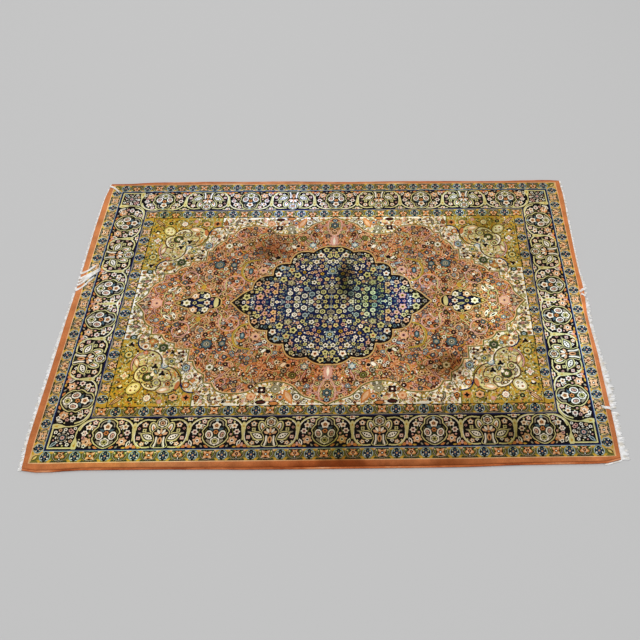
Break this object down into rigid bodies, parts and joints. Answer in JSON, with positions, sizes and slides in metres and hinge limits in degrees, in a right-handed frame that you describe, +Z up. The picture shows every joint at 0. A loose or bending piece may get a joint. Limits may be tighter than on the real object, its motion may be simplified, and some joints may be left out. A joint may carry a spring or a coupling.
{
  "type": "persian rug",
  "caption": "Flat hand-knotted medallion rug with a floral border, overcast side cords and short cotton fringes at both ends.",
  "frame": {"origin": "middle of the part's box in X and Y, on the floor that the rug lies on", "axes": "+X along the length towards the end with the longer fringe, +Y across the width towards the back edge, +Z up out of the pile"},
  "size_m": [2.1676, 1.4864, 0.0116],
  "materials": {
    "pile": "short knotted wool and silk pile with a soft sheen",
    "selvedge": "terracotta wool wound over side cords",
    "fringe": "twisted undyed cotton warp ends"
  },
  "bodies": {
    "root": {"rug": "pile", "selvedge_front": "selvedge", "selvedge_back": "selvedge", "fringe_left": "fringe", "fringe_right": "fringe"}
  },
  "joints": []
}
